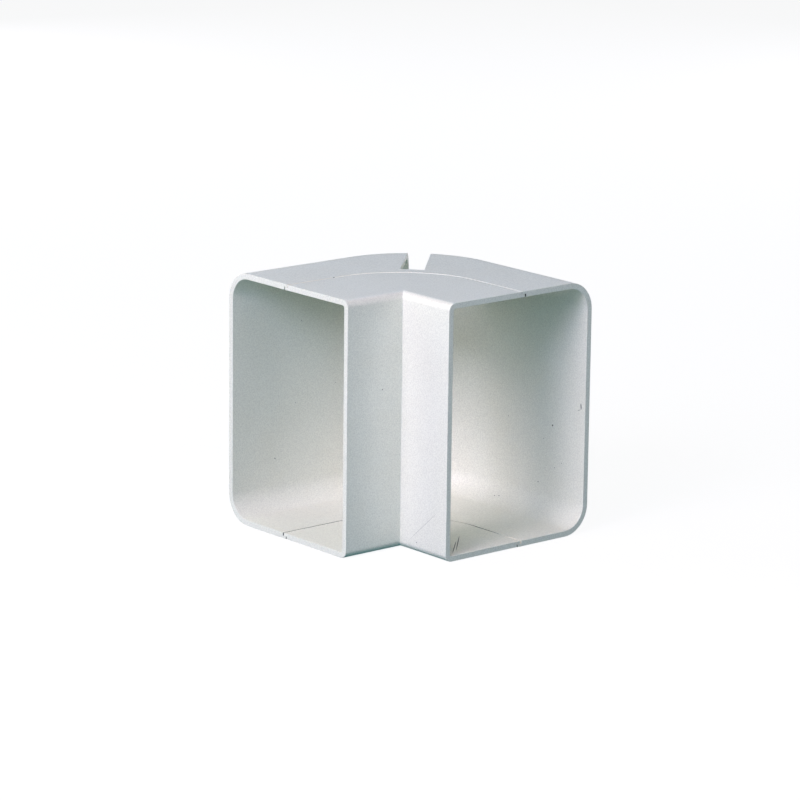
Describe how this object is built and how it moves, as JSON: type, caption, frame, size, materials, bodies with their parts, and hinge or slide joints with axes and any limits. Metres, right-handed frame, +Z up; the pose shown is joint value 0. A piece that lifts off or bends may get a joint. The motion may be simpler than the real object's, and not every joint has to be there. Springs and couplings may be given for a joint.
{
  "type": "flat duct bend",
  "caption": "Right-angle bend for rectangular plastic duct: an inner base channel with a sharp wall corner and an outer cover channel with large rounded corners, joined along a lapped seam.",
  "frame": {"origin": "under the middle of the bend's box, on the surface that it stands on", "axes": "+Z up, square to both legs; one leg opens towards -X and the other towards -Y"},
  "size_m": [0.0952, 0.0952, 0.0962],
  "materials": {
    "moulded_pvc": "satin white, as moulded"
  },
  "bodies": {
    "root": {"base_channel": "moulded_pvc", "cover_channel": "moulded_pvc"}
  },
  "joints": []
}
